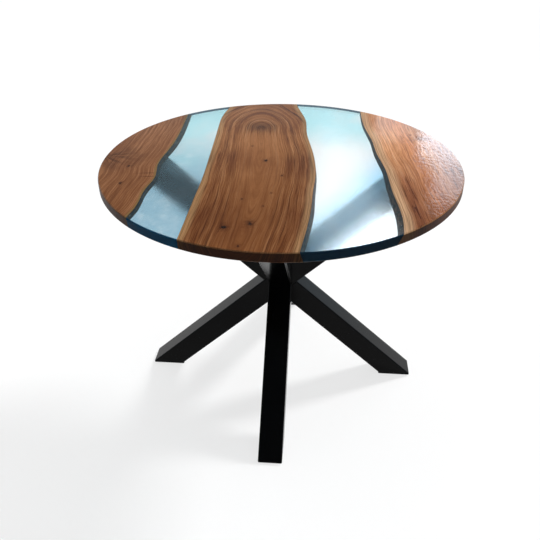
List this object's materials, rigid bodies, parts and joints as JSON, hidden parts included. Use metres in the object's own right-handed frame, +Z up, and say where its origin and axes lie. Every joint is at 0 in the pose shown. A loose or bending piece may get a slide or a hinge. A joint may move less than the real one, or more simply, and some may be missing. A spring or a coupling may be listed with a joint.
{
  "type": "pedestal dining table",
  "caption": "Round dining table with live-edge wood boards and clear resin rivers, on a crossed base of black square steel tube.",
  "frame": {"origin": "on the floor under the centre of the round top", "axes": "+Z up, +X along the left-right pair of legs towards the right foot, -Y towards the front leg"},
  "size_m": [1, 1, 0.75],
  "materials": {
    "board_wood": "gloss",
    "river_resin": "gloss",
    "black_steel": "satin",
    "glide_rubber": "matte",
    "zinc_steel": "satin",
    "insert_brass": "satin"
  },
  "bodies": {
    "root": {"slab_left": "board_wood", "slab_centre": "board_wood", "slab_right": "board_wood", "river_left": "river_resin", "river_right": "river_resin", "long_beam": "black_steel", "right_leg": "black_steel", "left_arm": "black_steel", "front_leg": "black_steel", "front_arm": "black_steel", "back_leg": "black_steel", "back_arm": "black_steel", "top_plate_right": "black_steel", "sole_plate_right": "black_steel", "top_plate_back": "black_steel", "sole_plate_back": "black_steel", "top_plate_left": "black_steel", "sole_plate_left": "black_steel", "top_plate_front": "black_steel", "sole_plate_front": "black_steel", "glide_right": "glide_rubber", "glide_back": "glide_rubber", "glide_left": "glide_rubber", "glide_front": "glide_rubber", "plate_bolts": "zinc_steel", "threaded_inserts": "insert_brass"}
  },
  "joints": []
}
